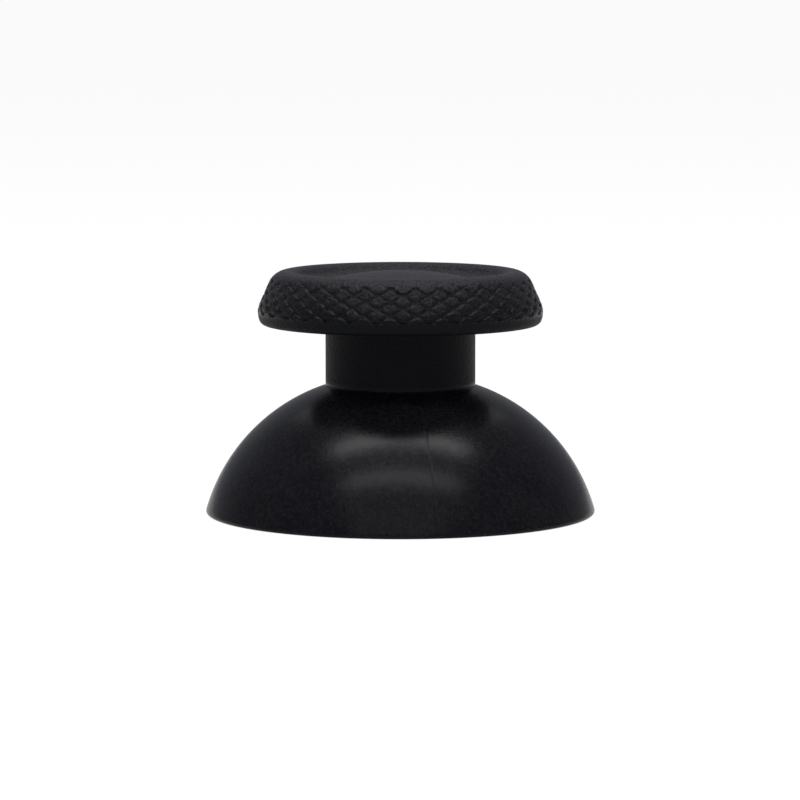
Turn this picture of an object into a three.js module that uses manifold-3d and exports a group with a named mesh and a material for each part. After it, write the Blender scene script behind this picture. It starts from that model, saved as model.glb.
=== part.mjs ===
import * as THREE from "three";
import { mergeVertices } from "three/addons/utils/BufferGeometryUtils.js";
import Module from "manifold-3d";

// Thumbstick cap of a game controller, moulded in one piece of black plastic.
// Millimetres, +Z up, with the origin at the middle of the rim that the skirt stands on.

// Skirt, the ball-shaped cover over the stick's pivot
const rimRadius = 12.66;
const rimRounding = 0.2;
const skirtBulgeRadius = 12;
const skirtHeight = 8.33;
const skirtWall = 1;

// Neck between skirt and head
const neckRadius = 4.87;
const neckLength = 3.98;
const neckFootFillet = 0.2;
const neckTopFillet = 0.5;

// Head, from its underside round the edge and over the ring to the crown
const headRadius = 9.25;
const headHeight = 3.5;
const headCornerRadius = 0.45;
const headEdgeRadius = 1.45;
const headEdgeRise = 0.8;
const headSideLean = 24;
const shoulderRadius = 1.25;
const crestRadius = 1;
const troughRadius = 1.6;
const crownRadius = 20;
const crownDrop = 0.03;

// Knurl of raised lozenges between two sets of crossing grooves, from low on the head's edge to the
// shoulder; both ends are given as the outline's slope there, in degrees from upright
const knurlLozenges = 34;
const knurlRows = 3;
const knurlFootSlope = 9;
const knurlTopSlope = 64;
const knurlDepth = 0.09;
const knurlPeak = 0.02;
const knurlLandShare = 0.72;

// Boss and double-D socket for the stick's shaft, under the head
const bossRadius = 3.2;
const bossMouthHeight = 2.2;
const socketRadius = 2;
const socketFlatGap = 3;
const socketDepth = 6;
const socketLeadIn = 0.35;
const coreRadius = 1.3;
const headFloor = 2.5;

// Webs that tie the boss to the skirt
const webCount = 4;
const webThickness = 0.8;
const webFootHeight = 4.8;
const webReach = 8.3;

// Facets round the part: four to each lozenge on the knurl, fewer on the plain turns
const stepsPerLozenge = 4;
const knurlSteps = knurlLozenges * stepsPerLozenge;
const roundSteps = knurlSteps / 2;
const crownSteps = roundSteps / 2;
const boreSteps = 36;

// Heights that follow from the sizes above
const undersideHeight = skirtHeight + neckLength;
const crestHeight = undersideHeight + headHeight;
const widestHeight = undersideHeight + headEdgeRise;
const seatHeight = bossMouthHeight + socketDepth;
const overcut = 1;

const quarterTurn = Math.PI / 2;

function arc(centre, radius, fromAngle, toAngle) {
  const clockwise = toAngle < fromAngle;
  return new THREE.EllipseCurve(centre.x, centre.y, radius, radius, fromAngle, toAngle, clockwise);
}

function line(from, to) {
  return new THREE.LineCurve(from, to);
}

function angleFrom(centre, point) {
  return Math.atan2(point.y - centre.y, point.x - centre.x);
}

function onCircle(centre, radius, angle) {
  return new THREE.Vector2(centre.x + radius * Math.cos(angle), centre.y + radius * Math.sin(angle));
}

// The point at given distances from two others, to the left of the way from the first to the second
function meetOfCircles(first, firstRadius, second, secondRadius) {
  const way = second.clone().sub(first);
  const gap = way.length();
  const along = (firstRadius ** 2 - secondRadius ** 2 + gap ** 2) / (2 * gap);
  const across = Math.sqrt(firstRadius ** 2 - along ** 2);
  way.normalize();
  const left = new THREE.Vector2(-way.y, way.x);
  return first.clone().addScaledVector(way, along).addScaledVector(left, across);
}

// Skirt profile: the bulge is tangent to the rim's rounding and ends on the neck's foot fillet
const rimCentre = new THREE.Vector2(rimRadius - rimRounding, rimRounding);
const neckFoot = new THREE.Vector2(neckRadius, skirtHeight);
const bulgeCentre = meetOfCircles(rimCentre, skirtBulgeRadius - rimRounding, neckFoot, skirtBulgeRadius);
const footReach = skirtBulgeRadius + neckFootFillet;
const footOffset = neckRadius + neckFootFillet - bulgeCentre.x;
const footCentre = new THREE.Vector2(
  neckRadius + neckFootFillet,
  bulgeCentre.y + Math.sqrt(footReach ** 2 - footOffset ** 2),
);
const rimAngle = angleFrom(bulgeCentre, rimCentre);
const footAngle = angleFrom(bulgeCentre, footCentre);

// Head profile: every arc is tangent to the one before it
const topFilletCentre = new THREE.Vector2(neckRadius + neckTopFillet, undersideHeight - neckTopFillet);
const edgeCentre = new THREE.Vector2(headRadius - headEdgeRadius, widestHeight);
const cornerDrop = headEdgeRise - headCornerRadius;
const cornerCentre = new THREE.Vector2(
  edgeCentre.x + Math.sqrt((headEdgeRadius - headCornerRadius) ** 2 - cornerDrop ** 2),
  undersideHeight + headCornerRadius,
);
const cornerAngle = angleFrom(edgeCentre, cornerCentre);
const leanAngle = THREE.MathUtils.degToRad(headSideLean);
const sideFoot = onCircle(edgeCentre, headEdgeRadius, leanAngle);
const shoulderHeight = crestHeight - shoulderRadius * (1 - Math.sin(leanAngle));
const sideTop = new THREE.Vector2(
  sideFoot.x - (shoulderHeight - sideFoot.y) * Math.tan(leanAngle),
  shoulderHeight,
);
const shoulderCentre = onCircle(sideTop, shoulderRadius, leanAngle + Math.PI);
const crestCentre = new THREE.Vector2(shoulderCentre.x, crestHeight - crestRadius);
const crownCentre = new THREE.Vector2(0, crestHeight - crownDrop - crownRadius);
const troughCentre = meetOfCircles(
  crownCentre, crownRadius + troughRadius, crestCentre, crestRadius + troughRadius,
);
const innerCrestAngle = angleFrom(crestCentre, troughCentre);
const troughStart = angleFrom(troughCentre, crestCentre);
const knurlFoot = THREE.MathUtils.degToRad(knurlFootSlope);
const knurlTop = THREE.MathUtils.degToRad(knurlTopSlope);
const troughEnd = angleFrom(troughCentre, crownCentre);
const crownStart = angleFrom(crownCentre, troughCentre);

// Stretches of the outline below and above the knurl, each with its number of facets
const lowerOutline = [
  [arc(rimCentre, rimRounding, -quarterTurn, 0), 2],
  [arc(rimCentre, rimRounding, 0, rimAngle), 1],
  [arc(bulgeCentre, skirtBulgeRadius, rimAngle, footAngle), 8],
  [arc(footCentre, neckFootFillet, footAngle - Math.PI, -Math.PI), 2],
  [arc(topFilletCentre, neckTopFillet, Math.PI, quarterTurn), 3],
  [arc(cornerCentre, headCornerRadius, -quarterTurn, cornerAngle), 2],
  [arc(edgeCentre, headEdgeRadius, cornerAngle, 0), 2],
  [arc(edgeCentre, headEdgeRadius, 0, knurlFoot), 1],
];
const upperOutline = [
  [arc(shoulderCentre, shoulderRadius, knurlTop, quarterTurn), 3],
  [arc(crestCentre, crestRadius, quarterTurn, innerCrestAngle), 4],
  [arc(troughCentre, troughRadius, troughStart, troughEnd), 6],
  [arc(crownCentre, crownRadius, crownStart, quarterTurn), 4],
];

// The knurl follows this path from the widest edge up the side and onto the shoulder
const knurlPath = new THREE.CurvePath();
knurlPath.add(arc(edgeCentre, headEdgeRadius, knurlFoot, leanAngle));
knurlPath.add(line(sideFoot, sideTop));
knurlPath.add(arc(shoulderCentre, shoulderRadius, leanAngle, knurlTop));

// Points of some stretches in turn, with the joints between them given once
function outlinePoints(stretches) {
  const points = [];
  for (const [curve, facets] of stretches) {
    for (const point of curve.getPoints(facets)) {
      const last = points[points.length - 1];
      if (!last || last.distanceTo(point) > 1e-6) {
        points.push(point);
      }
    }
  }
  return points;
}

function turned(radius, height, angle) {
  return new THREE.Vector3(radius * Math.cos(angle), radius * Math.sin(angle), height);
}

function plainRing(point, count) {
  const ring = [];
  for (let step = 0; step < count; step += 1) {
    ring.push(turned(point.x, point.y, (2 * Math.PI * step) / count));
  }
  return ring;
}

// On the knurl's grid a lozenge's middle is where both sets of grooves are half a lozenge away
function isPeak(step, row) {
  const wrap = (value) => THREE.MathUtils.euclideanModulo(value, stepsPerLozenge);
  const half = stepsPerLozenge / 2;
  return wrap(step + row) === half && wrap(step - row) === half;
}

// Each second grid point is a corner of one lozenge's land, drawn out from that lozenge's middle
function landCorner(step, row) {
  const neighbours = [[1, 0], [-1, 0], [0, 1], [0, -1]];
  const [stepWay, rowWay] = neighbours.find(([right, up]) => isPeak(step + right, row + up));
  const spread = (knurlLandShare * stepsPerLozenge) / 2 - 1;
  return { step: step - stepWay * spread, row: row - rowWay * spread, lift: 0 };
}

function knurlPoint(step, row, lastRow) {
  let place = { step, row, lift: -knurlDepth };
  if (row === 0 || row === lastRow) {
    place.lift = 0;
  } else if (isPeak(step, row)) {
    place.lift = knurlPeak;
  } else if ((step + row) % 2 !== 0) {
    place = landCorner(step, row);
  }
  const along = place.row / lastRow;
  const point = knurlPath.getPoint(along);
  const way = knurlPath.getTangent(along);
  const angle = (2 * Math.PI * place.step) / knurlSteps;
  return turned(point.x + way.y * place.lift, point.y - way.x * place.lift, angle);
}

function knurlRings() {
  const lastRow = knurlRows * stepsPerLozenge;
  const rings = [];
  for (let row = 0; row <= lastRow; row += 1) {
    const ring = [];
    for (let step = 0; step < knurlSteps; step += 1) {
      ring.push(knurlPoint(step, row, lastRow));
    }
    rings.push(ring);
  }
  return rings;
}

// A band of squares, each split along the groove or along the edge of a lozenge's land
function knurlBand(lower, upper, row) {
  const triangles = [];
  for (let step = 0; step < lower.length; step += 1) {
    const next = (step + 1) % lower.length;
    const evenStart = (step + row) % 2 === 0;
    const peakInSquare = evenStart
      ? isPeak(step, row) || isPeak(step + 1, row + 1)
      : isPeak(step + 1, row) || isPeak(step, row + 1);
    if (evenStart !== peakInSquare) {
      triangles.push([lower[step], lower[next], upper[next]], [lower[step], upper[next], upper[step]]);
    } else {
      triangles.push([lower[step], lower[next], upper[step]], [lower[next], upper[next], upper[step]]);
    }
  }
  return triangles;
}

// A band between two rings, where the coarser one, or a point on the axis, gives its corners repeatedly
function plainBand(lower, upper) {
  const count = Math.max(lower.length, upper.length);
  const corner = (ring, step) => ring[Math.ceil((step * ring.length) / count) % ring.length];
  const triangles = [];
  for (let step = 0; step < count; step += 1) {
    const start = corner(lower, step);
    const end = corner(upper, step + 1);
    triangles.push([start, corner(lower, step + 1), end], [start, end, corner(upper, step)]);
  }
  return triangles.filter(([a, b, c]) => a !== b && b !== c && c !== a);
}

// The whole outside as one closed skin, up the skirt and neck, over the knurl, to the crown
function outerSkin() {
  const axisPoint = (height) => [new THREE.Vector3(0, 0, height)];
  const facetsAt = (point) => (point.x < troughCentre.x / 2 ? crownSteps : roundSteps);
  const below = outlinePoints(lowerOutline).slice(0, -1);
  const inside = outlinePoints(upperOutline).slice(1, -1);
  const knurl = knurlRings();
  const lead = [axisPoint(0), ...below.map((point) => plainRing(point, roundSteps)), knurl[0]];
  const trail = [
    knurl[knurl.length - 1],
    ...inside.map((point) => plainRing(point, facetsAt(point))),
    axisPoint(crestHeight - crownDrop),
  ];
  const triangles = [];
  lead.slice(1).forEach((ring, index) => triangles.push(...plainBand(lead[index], ring)));
  knurl.slice(1).forEach((ring, row) => triangles.push(...knurlBand(knurl[row], ring, row)));
  trail.slice(1).forEach((ring, index) => triangles.push(...plainBand(trail[index], ring)));
  return new THREE.BufferGeometry().setFromPoints(triangles.flat());
}

const wasm = await Module();
wasm.setup();

function solidFrom(geometry) {
  const bare = geometry.clone();
  bare.deleteAttribute("normal");
  bare.deleteAttribute("uv");
  const merged = mergeVertices(bare);
  const kept = [];
  for (let at = 0; at < merged.index.count; at += 3) {
    const [a, b, c] = merged.index.array.slice(at, at + 3);
    if (a !== b && b !== c && c !== a) {
      kept.push(a, b, c);
    }
  }
  const vertProperties = Float32Array.from(merged.attributes.position.array);
  const triVerts = Uint32Array.from(kept);
  return new wasm.Manifold(new wasm.Mesh({ numProp: 3, vertProperties, triVerts }));
}

function geometryFrom(solid) {
  const mesh = solid.getMesh();
  const geometry = new THREE.BufferGeometry();
  geometry.setAttribute("position", new THREE.BufferAttribute(Float32Array.from(mesh.vertProperties), 3));
  geometry.setIndex(new THREE.BufferAttribute(Uint32Array.from(mesh.triVerts), 1));
  geometry.computeVertexNormals();
  return geometry;
}

function uprightCylinder(topRadius, footRadius, footHeight, topHeight, steps) {
  const geometry = new THREE.CylinderGeometry(topRadius, footRadius, topHeight - footHeight, steps);
  geometry.rotateX(quarterTurn);
  geometry.translate(0, 0, (footHeight + topHeight) / 2);
  return geometry;
}

// Inside of the skirt, one wall under its bulge and open at the rim
const innerBulgeRadius = skirtBulgeRadius - skirtWall;

function innerBulgeHeight(radius) {
  return bulgeCentre.y + Math.sqrt(innerBulgeRadius ** 2 - (radius - bulgeCentre.x) ** 2);
}

function skirtHollow() {
  const mouthAngle = Math.asin(-bulgeCentre.y / innerBulgeRadius);
  const ceilingRadius = bossRadius / 2;
  const ceilingHeight = innerBulgeHeight(ceilingRadius);
  const ceilingAngle = angleFrom(bulgeCentre, new THREE.Vector2(ceilingRadius, ceilingHeight));
  const wall = arc(bulgeCentre, innerBulgeRadius, mouthAngle, ceilingAngle).getPoints(7);
  const profile = [
    new THREE.Vector2(0, -overcut),
    new THREE.Vector2(wall[0].x, -overcut),
    ...wall,
    new THREE.Vector2(0, ceilingHeight),
  ];
  const geometry = new THREE.LatheGeometry(profile, roundSteps);
  geometry.rotateX(quarterTurn);
  return solidFrom(geometry);
}

// One web, standing out from the axis along an angle, with a sloping lower edge
function web(angle) {
  const slope = (innerBulgeHeight(webReach) - webFootHeight) / (webReach - bossRadius);
  const lowerEdge = (radius) => webFootHeight + slope * (radius - bossRadius);
  const outerEnd = webReach + skirtWall;
  const shape = new THREE.Shape([
    new THREE.Vector2(0, lowerEdge(0)),
    new THREE.Vector2(outerEnd, lowerEdge(outerEnd)),
    new THREE.Vector2(outerEnd, undersideHeight),
    new THREE.Vector2(0, undersideHeight),
  ]);
  const geometry = new THREE.ExtrudeGeometry(shape, { depth: webThickness, bevelEnabled: false });
  geometry.translate(0, 0, -webThickness / 2);
  geometry.rotateX(quarterTurn);
  geometry.rotateZ(angle);
  return solidFrom(geometry);
}

// Round bore with two flats, a cone at its mouth that leads onto the flats, and a core hole up the neck
function socket() {
  const flatOffset = socketFlatGap / 2;
  const flatAngle = Math.asin(flatOffset / socketRadius);
  const shape = new THREE.Shape();
  shape.absarc(0, 0, socketRadius, -flatAngle, flatAngle, false);
  shape.absarc(0, 0, socketRadius, Math.PI - flatAngle, Math.PI + flatAngle, false);
  const depth = socketDepth + overcut;
  const bore = new THREE.ExtrudeGeometry(shape, { depth, bevelEnabled: false, curveSegments: 8 });
  bore.translate(0, 0, bossMouthHeight - overcut);
  const mouthRadius = socketRadius + socketLeadIn;
  const coneFoot = bossMouthHeight - overcut;
  const coneTop = bossMouthHeight + mouthRadius - flatOffset;
  const leadIn = uprightCylinder(flatOffset, mouthRadius + overcut, coneFoot, coneTop, boreSteps);
  const coreTop = crestHeight - headFloor;
  const core = uprightCylinder(coreRadius, coreRadius, seatHeight - overcut, coreTop, boreSteps);
  return solidFrom(bore).add(solidFrom(leadIn)).add(solidFrom(core));
}

function capSolid() {
  const boss = uprightCylinder(bossRadius, bossRadius, bossMouthHeight, undersideHeight, boreSteps);
  let hollow = skirtHollow().subtract(solidFrom(boss));
  for (let index = 0; index < webCount; index += 1) {
    hollow = hollow.subtract(web((2 * Math.PI * (index + 0.5)) / webCount));
  }
  return solidFrom(outerSkin()).subtract(hollow).subtract(socket());
}

const capMaterial = new THREE.MeshStandardMaterial({ color: 0x17171a, roughness: 0.5, metalness: 0 });
const cap = new THREE.Mesh(geometryFrom(capSolid()), capMaterial);
cap.name = "thumbstick_cap";

const part = new THREE.Group();
part.add(cap);

export default part;
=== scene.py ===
import math

import bpy
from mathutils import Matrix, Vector


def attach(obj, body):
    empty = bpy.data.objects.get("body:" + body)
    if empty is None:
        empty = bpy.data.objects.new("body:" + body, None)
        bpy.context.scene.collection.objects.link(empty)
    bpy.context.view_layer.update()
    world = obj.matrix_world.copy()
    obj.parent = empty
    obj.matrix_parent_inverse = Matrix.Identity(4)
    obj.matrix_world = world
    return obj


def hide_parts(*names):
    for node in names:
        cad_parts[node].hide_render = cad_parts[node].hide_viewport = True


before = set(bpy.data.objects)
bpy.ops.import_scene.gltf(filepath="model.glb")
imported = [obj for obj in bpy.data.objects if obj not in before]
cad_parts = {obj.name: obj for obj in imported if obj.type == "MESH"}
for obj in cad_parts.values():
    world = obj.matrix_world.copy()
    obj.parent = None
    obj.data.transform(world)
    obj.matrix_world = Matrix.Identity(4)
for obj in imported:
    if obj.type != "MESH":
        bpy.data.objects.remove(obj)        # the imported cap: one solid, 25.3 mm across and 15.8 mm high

mm = 0.001
fullTurn = 2 * math.pi
quarterTurn = math.pi / 2
closeBy = 0.003 * mm     # vertices nearer than this are one
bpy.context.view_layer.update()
print("the packed cap is loaded")


def startFresh():
    if bpy.context.object and bpy.context.object.mode == "EDIT":
        bpy.ops.object.mode_set(mode="OBJECT")
    bpy.ops.object.select_all(action="DESELECT")


def makeActive(piece):
    startFresh()
    piece.select_set(True)
    bpy.context.view_layer.objects.active = piece


# Places on an outline are pairs of radius and height, in mm

def onCircle(centre, radius, angle):
    return centre + radius * Vector((math.cos(angle), math.sin(angle)))


def angleFrom(centre, point):
    return math.atan2(point.y - centre.y, point.x - centre.x)


def meetOfCircles(first, firstRadius, second, secondRadius):
    way = second - first   # of their two meeting points, the one left of this way
    gap = way.length
    along = (firstRadius ** 2 - secondRadius ** 2 + gap ** 2) / (2 * gap)
    across = math.sqrt(firstRadius ** 2 - along ** 2)
    left = Vector((-way.y, way.x)) / gap
    return first + way / gap * along + left * across


class Outline:           # one vertex, extruded and spun into an outline, which is then spun about Z
    def __init__(self, name, start):
        startFresh()
        bpy.ops.mesh.primitive_plane_add(size=mm)
        self.piece = bpy.context.object
        self.piece.name = name
        bpy.ops.object.mode_set(mode="EDIT")
        bpy.ops.mesh.merge(type="CENTER")
        bpy.ops.transform.translate(value=(start.x * mm, 0, start.y * mm))
        self.here = start

    def line(self, point):
        step = (point - self.here) * mm
        move = {"value": (step.x, 0, step.y)}
        bpy.ops.mesh.extrude_vertices_move(TRANSFORM_OT_translate=move)
        self.here = point

    def arc(self, centre, fromAngle, toAngle, steps):
        middle = (centre.x * mm, 0, centre.y * mm)
        bpy.ops.mesh.spin(steps=steps, angle=toAngle - fromAngle, center=middle, axis=(0, 1, 0))
        self.here = onCircle(centre, (self.here - centre).length, toAngle)

    def turn(self, steps, angle=fullTurn):
        bpy.ops.mesh.select_all(action="SELECT")
        bpy.ops.mesh.spin(steps=steps, angle=angle, center=(0, 0, 0), axis=(0, 0, 1))
        bpy.ops.mesh.select_all(action="SELECT")
        bpy.ops.mesh.remove_doubles(threshold=closeBy)
        bpy.ops.mesh.normals_make_consistent(inside=False)
        bpy.ops.object.mode_set(mode="OBJECT")
        return self.piece


def carve(piece, tool):
    makeActive(piece)
    cut = piece.modifiers.new(tool.name, "BOOLEAN")
    cut.operation = "DIFFERENCE"
    cut.solver = "EXACT"
    cut.object = tool
    bpy.ops.object.modifier_apply(modifier=cut.name)
    bpy.data.objects.remove(tool)


def selectFaces(piece, wanted):        # leaves the piece in edit mode with those faces selected
    makeActive(piece)
    bpy.ops.object.mode_set(mode="EDIT")
    bpy.ops.mesh.select_mode(type="FACE")
    bpy.ops.mesh.select_all(action="DESELECT")
    bpy.ops.object.mode_set(mode="OBJECT")
    for face in piece.data.polygons:
        face.select = wanted(math.hypot(face.center.x, face.center.y) / mm, face.center.z / mm)
    bpy.ops.object.mode_set(mode="EDIT")


skirt = {                  # sizes in mm and angles in degrees, here and below
    "rimRadius": 12.66,
    "rimRounding": 0.2,
    "bulgeRadius": 12,
    "height": 8.33,
    "wall": 1,
}
neck = {
    "radius": 4.87,
    "length": 3.98,
    "footFillet": 0.2,
    "topFillet": 0.5,
}
head = {
    "radius": 9.25,
    "height": 3.5,
    "cornerRadius": 0.45,
    "edgeRadius": 1.45,
    "edgeRise": 0.8,
    "sideLean": 24,
    "shoulderRadius": 1.25,
    "crestRadius": 1,
    "troughRadius": 1.6,
    "crownRadius": 20,
    "crownDrop": 0.03,
}
plainSteps = 204           # round the axis, where the cap is plain
arcSteps = {               # along the outline
    "rim": 6,
    "bulge": 48,
    "footFillet": 6,
    "topFillet": 8,
    "corner": 8,
    "edge": 8,
    "shoulder": 6,
    "crest": 12,
    "trough": 16,
    "crown": 20,
    "hollow": 36,
}

underside = skirt["height"] + neck["length"]
crest = underside + head["height"]
widest = underside + head["edgeRise"]

rimCentre = Vector((skirt["rimRadius"] - skirt["rimRounding"], skirt["rimRounding"]))
neckFoot = Vector((neck["radius"], skirt["height"]))
bulgeCentre = meetOfCircles(
    rimCentre, skirt["bulgeRadius"] - skirt["rimRounding"], neckFoot, skirt["bulgeRadius"]
)
footReach = skirt["bulgeRadius"] + neck["footFillet"]
footX = neck["radius"] + neck["footFillet"]
footRise = math.sqrt(footReach ** 2 - (footX - bulgeCentre.x) ** 2)
footCentre = Vector((footX, bulgeCentre.y + footRise))
rimAngle = angleFrom(bulgeCentre, rimCentre)
footAngle = angleFrom(bulgeCentre, footCentre)

topFilletCentre = Vector((neck["radius"] + neck["topFillet"], underside - neck["topFillet"]))
edgeCentre = Vector((head["radius"] - head["edgeRadius"], widest))
cornerDrop = head["edgeRise"] - head["cornerRadius"]
cornerGap = head["edgeRadius"] - head["cornerRadius"]
cornerCentre = Vector((
    edgeCentre.x + math.sqrt(cornerGap ** 2 - cornerDrop ** 2),
    underside + head["cornerRadius"],
))
cornerAngle = angleFrom(edgeCentre, cornerCentre)
leanAngle = math.radians(head["sideLean"])
sideFoot = onCircle(edgeCentre, head["edgeRadius"], leanAngle)
shoulderHeight = crest - head["shoulderRadius"] * (1 - math.sin(leanAngle))
sideTop = Vector((sideFoot.x - (shoulderHeight - sideFoot.y) * math.tan(leanAngle), shoulderHeight))
shoulderCentre = onCircle(sideTop, head["shoulderRadius"], leanAngle + math.pi)
crestCentre = Vector((shoulderCentre.x, crest - head["crestRadius"]))
crownCentre = Vector((0, crest - head["crownDrop"] - head["crownRadius"]))
troughCentre = meetOfCircles(
    crownCentre, head["crownRadius"] + head["troughRadius"],
    crestCentre, head["crestRadius"] + head["troughRadius"],
)
innerCrestAngle = angleFrom(crestCentre, troughCentre)
troughStart = angleFrom(troughCentre, crestCentre)
troughEnd = angleFrom(troughCentre, crownCentre)
crownStart = angleFrom(crownCentre, troughCentre)

knurl = {
    "lozenges": 34,
    "rowHeight": 0.9143,
    "firstRow": -0.25,     # where it starts; lozenges' middles lie at rows 0, 0.5, 1 and so on
    "footSlope": 0,        # the outline's slope from upright where it starts and ends
    "topSlope": 64,
    "depth": 0.115,
    "peak": 0.01,
    "upperBevel": 0.34,    # bevels as shares of a lozenge's half width; the mould is pulled
    "lowerBevel": 0.45,    # upwards, so the lower ones slope gently on the upright side
    "shoulderBevel": 0.22,
    "shoulderRow": 1.3,    # over the row after this, it takes over from lowerBevel
    "grooveShare": 0.75,   # depth of a groove between two crossings, as a share of the full depth
    "topPower": 2.3,       # 2 gives oval lozenges, a high number gives them sharp corners
    "footPower": 4,
    "footFade": 0.3,       # rows over which the grooves rise out at the foot
    "topFade": 0.17,       # and at the shoulder
    "lastRow": 2.66,       # where they have risen out there, just past the last crossings
    "stepsAcross": 24,     # of the mesh, across a lozenge
    "stepLength": 0.045,
}
knurlFoot = math.radians(knurl["footSlope"])
knurlTop = math.radians(knurl["topSlope"])
lidGap = math.radians(4)   # the plain outline stops this far short of the knurl at either end


def capBody():             # closed by a plain lid where the knurl will be
    outline = Outline("thumbstickCap", Vector((0, 0)))
    outline.line(Vector((rimCentre.x, 0)))
    outline.arc(rimCentre, -quarterTurn, rimAngle, arcSteps["rim"])
    outline.arc(bulgeCentre, rimAngle, footAngle, arcSteps["bulge"])
    outline.arc(footCentre, footAngle - math.pi, -math.pi, arcSteps["footFillet"])
    outline.line(Vector((neck["radius"], topFilletCentre.y)))
    outline.arc(topFilletCentre, math.pi, quarterTurn, arcSteps["topFillet"])
    outline.line(Vector((cornerCentre.x, underside)))
    outline.arc(cornerCentre, -quarterTurn, cornerAngle, arcSteps["corner"])
    outline.arc(edgeCentre, cornerAngle, knurlFoot - lidGap, arcSteps["edge"])
    outline.line(onCircle(shoulderCentre, head["shoulderRadius"], knurlTop + lidGap))
    outline.arc(shoulderCentre, knurlTop + lidGap, quarterTurn, arcSteps["shoulder"])
    outline.arc(crestCentre, quarterTurn, innerCrestAngle, arcSteps["crest"])
    outline.arc(troughCentre, troughStart, troughEnd, arcSteps["trough"])
    outline.arc(crownCentre, crownStart, quarterTurn, arcSteps["crown"])
    return outline.turn(plainSteps)


boss = {
    "radius": 3.2,
    "mouthHeight": 2.2,
    "steps": 72,
}
socket = {
    "radius": 2,
    "flatGap": 3,
    "depth": 6,
    "leadIn": 0.35,
    "coreRadius": 1.3,
    "headFloor": 2.5,
}
webs = {
    "count": 4,
    "thickness": 0.8,
    "footHeight": 4.8,
    "reach": 8.3,
}
overcut = 1                # how far a tool reaches past what it cuts
innerBulge = skirt["bulgeRadius"] - skirt["wall"]


def innerBulgeHeight(radius):
    return bulgeCentre.y + math.sqrt(innerBulge ** 2 - (radius - bulgeCentre.x) ** 2)


def upright(name, footRadius, topRadius, foot, top):   # a round tool standing on the axis
    startFresh()
    bpy.ops.mesh.primitive_cone_add(
        vertices=boss["steps"], radius1=footRadius * mm, radius2=topRadius * mm,
        depth=(top - foot) * mm, location=(0, 0, (foot + top) / 2 * mm),
    )
    piece = bpy.context.object
    piece.name = name
    bpy.ops.object.transform_apply(location=True, rotation=False, scale=False)
    return piece


def webSet():              # one web modelled, and copied round the axis
    start = boss["radius"] / 2
    end = webs["reach"] + skirt["wall"]
    rise = innerBulgeHeight(webs["reach"]) - webs["footHeight"]
    slope = rise / (webs["reach"] - boss["radius"])
    startFresh()
    bpy.ops.mesh.primitive_cube_add(size=mm)
    piece = bpy.context.object
    piece.name = "webs"
    bpy.ops.object.mode_set(mode="EDIT")
    foot = webs["footHeight"] + slope * (start - boss["radius"])
    bpy.ops.transform.resize(value=(end - start, webs["thickness"], underside - foot))
    bpy.ops.transform.translate(value=((start + end) / 2 * mm, 0, (foot + underside) / 2 * mm))
    bpy.ops.mesh.select_all(action="DESELECT")
    bpy.ops.object.mode_set(mode="OBJECT")
    for corner in piece.data.vertices:
        outer = corner.co.x > (start + end) / 2 * mm
        corner.select = outer and corner.co.z < (foot + underside) / 2 * mm
    bpy.ops.object.mode_set(mode="EDIT")
    bpy.ops.mesh.select_mode(type="VERT")
    bpy.ops.transform.translate(value=(0, 0, slope * (end - start) * mm))
    bpy.ops.mesh.select_all(action="SELECT")
    toFirst = fullTurn / webs["count"] / 2
    bpy.ops.transform.rotate(value=-toFirst, orient_axis="Z", center_override=(0, 0, 0))
    copies = webs["count"] - 1
    bpy.ops.mesh.spin(
        steps=copies, dupli=True, angle=fullTurn * copies / webs["count"],
        center=(0, 0, 0), axis=(0, 0, 1),
    )
    bpy.ops.object.mode_set(mode="OBJECT")
    return piece


def skirtHollow():
    ceiling = boss["radius"] / 2
    top = Vector((ceiling, innerBulgeHeight(ceiling)))
    mouthAngle = math.asin(-bulgeCentre.y / innerBulge)
    mouth = onCircle(bulgeCentre, innerBulge, mouthAngle)
    outline = Outline("skirtHollow", Vector((0, -overcut)))
    outline.line(Vector((mouth.x, -overcut)))
    outline.line(mouth)
    outline.arc(bulgeCentre, mouthAngle, angleFrom(bulgeCentre, top), arcSteps["hollow"])
    outline.line(Vector((0, top.y)))
    hollow = outline.turn(plainSteps)
    carve(hollow, upright("boss", boss["radius"], boss["radius"], boss["mouthHeight"], underside))
    carve(hollow, webSet())
    return hollow


def socketBore():          # a round bore cut down to two flats
    seat = boss["mouthHeight"] + socket["depth"]
    bore = upright("bore", socket["radius"], socket["radius"], boss["mouthHeight"] - overcut, seat)
    bpy.ops.object.mode_set(mode="EDIT")
    for side in (-1, 1):
        bpy.ops.mesh.select_all(action="SELECT")
        bpy.ops.mesh.bisect(
            plane_co=(0, side * socket["flatGap"] / 2 * mm, 0), plane_no=(0, side, 0),
            use_fill=True, clear_outer=True, threshold=closeBy,
        )
    bpy.ops.object.mode_set(mode="OBJECT")
    return bore


def cutSocket(piece):
    flat = socket["flatGap"] / 2
    mouthRadius = socket["radius"] + socket["leadIn"]
    mouth = boss["mouthHeight"]
    coneTop = mouth + mouthRadius - flat
    seat = mouth + socket["depth"]
    carve(piece, socketBore())
    carve(piece, upright("leadIn", mouthRadius + overcut, flat, mouth - overcut, coneTop))
    core = socket["coreRadius"]
    carve(piece, upright("coreHole", core, core, seat - overcut, crest - socket["headFloor"]))


def smooth(share):
    share = min(1, max(0, share))
    return share * share * (3 - 2 * share)


def blend(first, second, share):
    return first + (second - first) * share


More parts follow.
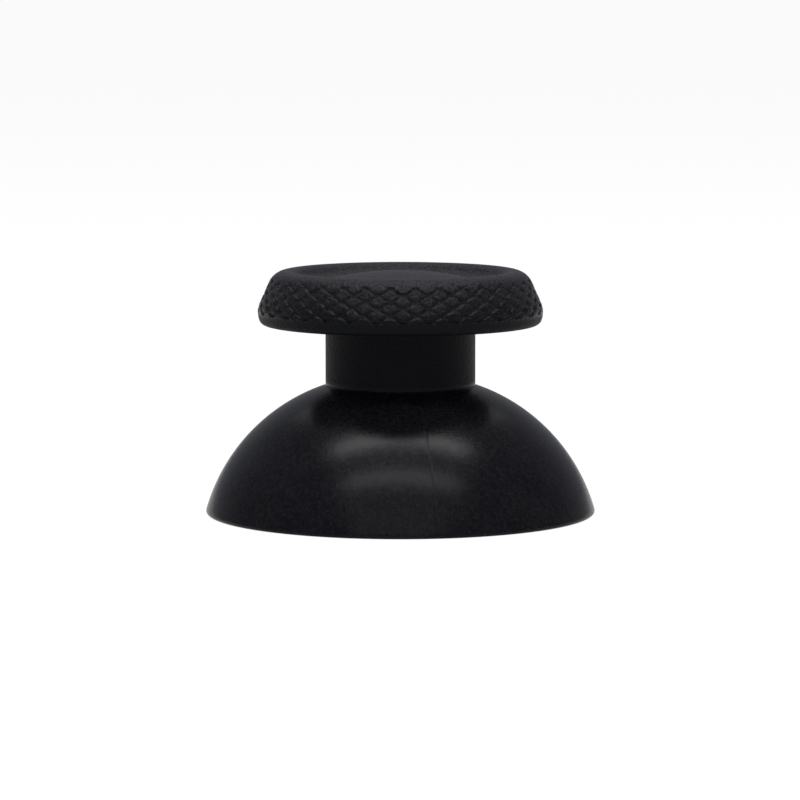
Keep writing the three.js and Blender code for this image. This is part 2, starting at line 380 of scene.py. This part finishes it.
def lozengeLift(along, across):        # from -depth in a groove to peak in a lozenge's middle
    # -1 on its lower left edge and 1 on its upper right one, then from lower right to upper left
    toRight = 2 * ((across + along) % 1) - 1
    toLeft = 1 - 2 * ((across - along) % 1)
    upward = smooth(0.5 + toRight + toLeft)
    onShoulder = smooth(along - knurl["shoulderRow"])
    power = blend(knurl["footPower"], knurl["topPower"], upward)
    reach = (abs(toRight) ** power + abs(toLeft) ** power) ** (1 / power)
    lowerBevel = blend(knurl["lowerBevel"], knurl["shoulderBevel"], onShoulder)
    bevel = blend(lowerBevel, knurl["upperBevel"], upward)
    groove = knurl["grooveShare"] + (1 - knurl["grooveShare"]) * abs(toRight * toLeft)
    drop = knurl["peak"] + knurl["depth"] * groove
    lift = knurl["peak"] - drop * smooth((reach - 1 + bevel) / bevel)
    runIn = smooth((along - knurl["firstRow"]) / knurl["footFade"])
    runOut = smooth((knurl["lastRow"] - along) / knurl["topFade"])
    return lift * runIn * runOut


def knurlBand():           # one upright strip, a lozenge wide, copied round and then raised
    outline = Outline("knurl", onCircle(edgeCentre, head["edgeRadius"], knurlFoot))

    def steps(length):
        return max(1, round(length / knurl["stepLength"]))

    def finely(centre, radius, fromAngle, toAngle):
        outline.arc(centre, fromAngle, toAngle, steps(radius * abs(toAngle - fromAngle)))

    finely(edgeCentre, head["edgeRadius"], knurlFoot, leanAngle)
    sideSteps = steps((sideTop - sideFoot).length)
    for step in range(sideSteps):
        outline.line(sideFoot.lerp(sideTop, (step + 1) / sideSteps))
    finely(shoulderCentre, head["shoulderRadius"], leanAngle, knurlTop)
    bpy.ops.object.mode_set(mode="OBJECT")
    band = outline.piece
    path = []
    walked = 0
    for vertex in band.data.vertices:
        if path:
            walked += (vertex.co - path[-1][0]).length
        path.append((vertex.co.copy(), walked))

    lozenge = fullTurn / knurl["lozenges"]
    makeActive(band)
    bpy.ops.object.mode_set(mode="EDIT")
    outline.turn(knurl["stepsAcross"], lozenge)

    raised = band.vertex_groups.new(name="raised")
    span = knurl["depth"] + knurl["peak"]
    for vertex in band.data.vertices:
        turned = Vector((math.hypot(vertex.co.x, vertex.co.y), 0, vertex.co.z))
        nearest = min(path, key=lambda place: (place[0] - turned).length)
        along = knurl["firstRow"] + nearest[1] / (knurl["rowHeight"] * mm)
        across = math.atan2(vertex.co.y, vertex.co.x) / lozenge
        share = (lozengeLift(along, across) + knurl["depth"]) / span
        raised.add([vertex.index], share, "REPLACE")

    makeActive(band)
    bpy.ops.object.mode_set(mode="EDIT")
    bpy.ops.mesh.select_all(action="SELECT")
    copies = knurl["lozenges"] - 1
    bpy.ops.mesh.spin(
        steps=copies, dupli=True, angle=lozenge * copies, center=(0, 0, 0), axis=(0, 0, 1),
    )
    bpy.ops.mesh.select_all(action="SELECT")
    bpy.ops.mesh.remove_doubles(threshold=closeBy)
    bpy.ops.mesh.normals_make_consistent(inside=False)
    bpy.ops.transform.shrink_fatten(value=-knurl["depth"] * mm)
    bpy.ops.object.mode_set(mode="OBJECT")
    lift = band.modifiers.new("lift", "DISPLACE")
    lift.vertex_group = raised.name
    lift.mid_level = 0
    lift.strength = span * mm
    bpy.ops.object.modifier_apply(modifier=lift.name)
    band.vertex_groups.clear()
    return band


def bridgeRings(piece, lowest, highest):    # joins the two open rings whose heights lie in between
    makeActive(piece)
    bpy.ops.object.mode_set(mode="EDIT")
    bpy.ops.mesh.select_mode(type="EDGE")
    bpy.ops.mesh.select_all(action="DESELECT")
    bpy.ops.mesh.select_non_manifold(
        extend=False, use_wire=False, use_boundary=True,
        use_multi_face=False, use_non_contiguous=False, use_verts=False,
    )
    bpy.ops.object.mode_set(mode="OBJECT")
    for edge in piece.data.edges:
        ends = [piece.data.vertices[index].co.z / mm for index in edge.vertices]
        edge.select = edge.select and lowest < min(ends) and max(ends) < highest
    bpy.ops.object.mode_set(mode="EDIT")
    bpy.ops.mesh.bridge_edge_loops()
    bpy.ops.object.mode_set(mode="OBJECT")


sharpFrom = 32             # edges with a wider angle than this stay sharp
lidReach = 0.5             # the lid's faces lie within this of its middle height


def thumbstickCap():
    piece = capBody()
    print("outline spun")
    carve(piece, skirtHollow())
    cutSocket(piece)
    print("hollow, webs and socket cut")
    band = knurlBand()
    middle = (widest + crest) / 2      # the body's lid is a ring of faces about this height

    def onLid(radius, height):
        return radius > crestCentre.x and abs(height - middle) < lidReach

    selectFaces(piece, onLid)
    bpy.ops.mesh.delete(type="FACE")
    makeActive(piece)
    band.select_set(True)
    bpy.ops.object.join()
    bridgeRings(piece, underside, middle)
    bridgeRings(piece, middle, crest)
    print("knurl raised and joined")
    makeActive(piece)
    bpy.ops.object.mode_set(mode="EDIT")
    bpy.ops.mesh.select_all(action="SELECT")
    bpy.ops.mesh.normals_make_consistent(inside=False)
    bpy.ops.object.mode_set(mode="OBJECT")
    bpy.ops.object.shade_smooth_by_angle(angle=math.radians(sharpFrom))
    return piece


cap = thumbstickCap()
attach(cap, "root")
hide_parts("thumbstick_cap")


class Wire:                # one output of a node; arithmetic on it adds Math nodes
    def __init__(self, tree, socket):
        self.tree = tree
        self.socket = socket

    def combine(self, operation, *values):
        node = self.tree.nodes.new("ShaderNodeMath")
        node.operation = operation
        for place, value in enumerate(values):
            if isinstance(value, Wire):
                self.tree.links.new(value.socket, node.inputs[place])
            else:
                node.inputs[place].default_value = value
        return Wire(self.tree, node.outputs[0])

    def __add__(self, other):
        return self.combine("ADD", self, other)

    def __radd__(self, other):
        return self.combine("ADD", other, self)

    def __sub__(self, other):
        return self.combine("SUBTRACT", self, other)

    def __rsub__(self, other):
        return self.combine("SUBTRACT", other, self)

    def __mul__(self, other):
        return self.combine("MULTIPLY", self, other)

    def __rmul__(self, other):
        return self.combine("MULTIPLY", other, self)


class Finish:              # one material and its nodes
    def __init__(self, name):
        self.material = bpy.data.materials.new(name)
        self.material.use_nodes = True
        self.tree = self.material.node_tree
        self.tree.nodes.clear()

    def add(self, kind, settings, values):
        node = self.tree.nodes.new(kind)
        for setting, value in settings.items():
            setattr(node, setting, value)
        for name, value in values.items():
            if isinstance(value, Wire):
                self.tree.links.new(value.socket, node.inputs[name])
            else:
                node.inputs[name].default_value = value
        return node

    def out(self, node, name=0):
        return Wire(self.tree, node.outputs[name])

    def noise(self, place, perMm, detail, roughness):
        return self.out(self.add(
            "ShaderNodeTexNoise", {"noise_dimensions": "3D"},
            {"Vector": place, "Scale": perMm, "Detail": detail, "Roughness": roughness},
        ))

    def step(self, value, low, high):      # 0 below low, 1 above high, smooth between
        return self.out(self.add(
            "ShaderNodeMapRange", {"interpolation_type": "SMOOTHSTEP"},
            {"Value": value, "From Min": low, "From Max": high},
        ))

    def mixColours(self, share, first, second):
        return self.out(self.add(
            "ShaderNodeMix", {"data_type": "RGBA"}, {0: share, 6: first, 7: second},
        ), 2)

    def complete(self, shader):
        self.add("ShaderNodeOutputMaterial", {}, {"Surface": shader})
        return self.material


plastic = {
    "dark": (0.0024, 0.0026, 0.0037, 1),
    "pale": (0.0067, 0.0065, 0.0078, 1),
    "paintedTopLight": (0.0155, 0.0151, 0.018, 1),   # painted top light: paler colour on the shoulder, crest and crown, where light falls from above
    "satin": 0.26,         # roughness of the skirt
    "dull": 0.54,          # roughness of the neck
    "grained": 0.29,       # roughness of the head's side
    "chalky": 0.4,         # roughness of its shoulder, crest and crown
    "patchy": 0.12,        # how far the coarse noise changes the roughness
    "finelyPatchy": 0.1,   # and the fine one
    "specular": 0.066,
}
noises = {                 # cells in a mm, detail, and roughness of the noise
    "fine": (9, 3, 0.6),
    "gritty": (5, 1, 0.5),
    "coarse": (3.5, 3, 0.55),
    "cloudy": (0.35, 2, 0.5),
}
zones = {                  # heights between which one finish turns into the next
    "neck": (skirt["height"], skirt["height"] + 0.4),
    "head": (widest - 0.3, widest + 0.1),
    "top": (widest + 0.2, crest - 0.7),
    # paleAgain: where the painted shade under the head ends
    "paleAgain": (widest - 0.2, widest + 0.4),
    "partingEnd": (skirt["height"] - 0.3, skirt["height"] + 0.2),
}
speckle = {                # shares of the noises, and where their sum is dark and pale
    "fine": 0.5,
    "coarse": 0.3,
    "cloudy": 0.2,
    "darkBelow": 0.4,
    "paleAbove": 0.6,
    "shadeUnderHead": 0.9,      # painted shade: share of the pale that is taken out on the neck and under the head, where shade falls
}
# painted top light: the noise that places its patches, and where they start and are full
topLightPattern = {
    "fine": 0.4,
    "gritty": 0.6,
    "unpaintedBelow": 0.32,
    "paintedAbove": 0.68,
}
grain = {
    "height": 0.012,       # for a grain of 1
    "fine": 0.7,
    "coarse": 0.6,
    "onSkirt": 0.5,
    "onNeck": 1.7,
    "onHead": 3,
    "grit": 3,             # on the neck, and twice that on the head
}
parting = {                # the line that the mould's halves leave on the skirt
    "turn": 14.7,          # to the right of the front
    "width": 0.035,
    "depth": 0.5,          # as a grain
    "roughness": 0.06,
}


def mouldedPlastic():
    finish = Finish("moulded black plastic")
    place = finish.out(finish.add("ShaderNodeTexCoord", {}, {}), "Object")
    inMm = finish.out(finish.add(
        "ShaderNodeVectorMath", {"operation": "SCALE"}, {0: place, "Scale": 1 / mm},
    ))
    apart = finish.add("ShaderNodeSeparateXYZ", {}, {0: inMm})
    x, y, z = (finish.out(apart, axis) for axis in "XYZ")

    offSkirt = finish.step(z, *zones["neck"])
    onHead = finish.step(z, *zones["head"])
    onTop = finish.step(z, *zones["top"])
    fine, gritty, coarse, cloudy = (finish.noise(inMm, *noise) for noise in noises.values())

    turn = math.radians(parting["turn"])
    fromPlane = finish.out(finish.add(
        "ShaderNodeMath", {"operation": "ABSOLUTE"}, {0: x * math.cos(turn) + y * math.sin(turn)},
    ))
    offLine = finish.step(fromPlane, parting["width"], 3 * parting["width"])
    line = (1 - offLine) * (1 - finish.step(z, *zones["partingEnd"]))

    speckled = fine * speckle["fine"] + coarse * speckle["coarse"] + cloudy * speckle["cloudy"]
    paleShare = finish.step(speckled, speckle["darkBelow"], speckle["paleAbove"])
    # painted shade: darker colour on the neck and under the head, up to where the head is widest
    shadeUnderHead = offSkirt * (1 - finish.step(z, *zones["paleAgain"]))
    paleThere = paleShare * (1 - speckle["shadeUnderHead"] * shadeUnderHead)
    plain = finish.mixColours(paleThere, plastic["dark"], plastic["pale"])
    # painted top light: paler patches on the shoulder, crest and crown that stand in for light falling
    # from above
    paintedTopLight = fine * topLightPattern["fine"] + gritty * topLightPattern["gritty"]
    topLightThere = onTop * finish.step(paintedTopLight, topLightPattern["unpaintedBelow"], topLightPattern["paintedAbove"])
    colour = finish.mixColours(topLightThere, plain, plastic["paintedTopLight"])
    roughness = (
        plastic["satin"] + (plastic["dull"] - plastic["satin"]) * offSkirt
        + (plastic["grained"] - plastic["dull"]) * onHead
        + (plastic["chalky"] - plastic["grained"]) * onTop
        + (coarse - 0.5) * plastic["patchy"] + (fine - 0.5) * plastic["finelyPatchy"]
        + line * parting["roughness"]
    )
    grainThere = (
        grain["onSkirt"] + (grain["onNeck"] - grain["onSkirt"]) * offSkirt
        + (grain["onHead"] - grain["onNeck"]) * onHead
    )
    height = (
        (fine * grain["fine"] + coarse * grain["coarse"]) * grainThere
        + gritty * grain["grit"] * (offSkirt + onHead) - line * parting["depth"]
    )
    bump = finish.out(finish.add(
        "ShaderNodeBump", {}, {"Height": height, "Distance": grain["height"] * mm},
    ))
    shader = finish.add("ShaderNodeBsdfPrincipled", {}, {
        "Base Color": colour,
        "Roughness": roughness,
        "Specular IOR Level": plastic["specular"],
        "Normal": bump,
    })
    return finish.complete(finish.out(shader))


cap.data.materials.append(mouldedPlastic())
print("plastic made")

stage = {
    "floorWidth": 14,      # in m
    "floorColour": (0.86, 0.86, 0.86, 1),
    "whiteShare": 0.94,    # how far the floor is lifted to plain white in the picture
    "worldColour": (0.94, 0.96, 1.06, 1),
    "worldStrength": 0.32,
}


def makeFloor():
    startFresh()
    bpy.ops.mesh.primitive_plane_add(size=stage["floorWidth"])
    floor = bpy.context.object
    floor.name = "floor"
    finish = Finish("pale floor")
    rays = finish.add("ShaderNodeLightPath", {}, {})
    seen = (
        finish.out(rays, "Is Camera Ray") + finish.out(rays, "Is Glossy Ray")
        + finish.out(rays, "Is Transmission Ray")
    )
    diffuse = finish.add("ShaderNodeBsdfDiffuse", {}, {"Color": stage["floorColour"]})
    white = finish.add("ShaderNodeEmission", {}, {"Color": (1, 1, 1, 1), "Strength": 1.0})
    both = finish.add("ShaderNodeMixShader", {}, {
        0: seen * stage["whiteShare"], 1: finish.out(diffuse), 2: finish.out(white),
    })
    floor.data.materials.append(finish.complete(finish.out(both)))


def makeWorld():
    world = bpy.data.worlds.new("studio")
    bpy.context.scene.world = world
    world.use_nodes = True
    background = world.node_tree.nodes["Background"]
    background.inputs["Color"].default_value = stage["worldColour"]
    background.inputs["Strength"].default_value = stage["worldStrength"]


lamps = {                  # degrees up from the camera's side, and distance, width and height in m
    "overhead": {"rise": 89.3, "away": 0.45, "size": (0.5, 0.055), "radiance": 23},
    "front bar": {"rise": 60.5, "away": 0.45, "size": (0.5, 0.04), "radiance": 17.5},
    "front fill": {"rise": 30, "away": 0.5, "size": (0.5, 0.25), "radiance": 1.1},
    "back": {"rise": 125, "away": 0.5, "size": (0.5, 0.35), "radiance": 1.0},
}


def makeLamps(turn):       # the camera's turn about Z
    for name, lamp in lamps.items():
        rise = math.radians(lamp["rise"])
        flat = math.cos(rise)
        way = Vector((math.sin(turn) * flat, -math.cos(turn) * flat, math.sin(rise)))
        light = bpy.data.lights.new(name, "AREA")
        light.shape = "RECTANGLE"
        light.size, light.size_y = lamp["size"]
        light.energy = lamp["radiance"] * math.pi * light.size * light.size_y
        holder = bpy.data.objects.new(name, light)
        bpy.context.scene.collection.objects.link(holder)
        holder.location = way * lamp["away"] + Vector((0, 0, crest / 2 * mm))
        holder.rotation_euler = way.to_track_quat("Z", "Y").to_euler()


view = {                   # the photograph's view, from the fit to its outlines
    "away": 253.2,         # from the axis and above the rim, in mm
    "high": 35.02,
    "dip": 0.10886,        # how far it looks down and aside, in radians
    "aside": 0.00011,
    "pixelsPerUnit": 3914.25,
    "pictureWidth": 800,
    "sensorWidth": 36,
    "clip": (0.01, 50),    # in m
    "turn": 4.2,           # so that the lozenges fall as in the photograph
}


def makeCamera():
    data = bpy.data.cameras.new("camera")
    data.sensor_width = view["sensorWidth"]
    data.lens = view["pixelsPerUnit"] / view["pictureWidth"] * data.sensor_width
    data.clip_start, data.clip_end = view["clip"]
    holder = bpy.data.objects.new("camera", data)
    bpy.context.scene.collection.objects.link(holder)
    turn = math.radians(view["turn"])
    holder.location = (
        math.sin(turn) * view["away"] * mm, -math.cos(turn) * view["away"] * mm, view["high"] * mm,
    )
    holder.rotation_euler = (quarterTurn - view["dip"], 0, turn + view["aside"])
    bpy.context.scene.camera = holder


makeFloor()
makeWorld()
makeLamps(math.radians(view["turn"]))
makeCamera()
bpy.context.scene.view_settings.view_transform = "Standard"
print("stage, lamps and camera placed")

bpy.context.view_layer.update()
print("cap has", len(cap.data.polygons), "faces")
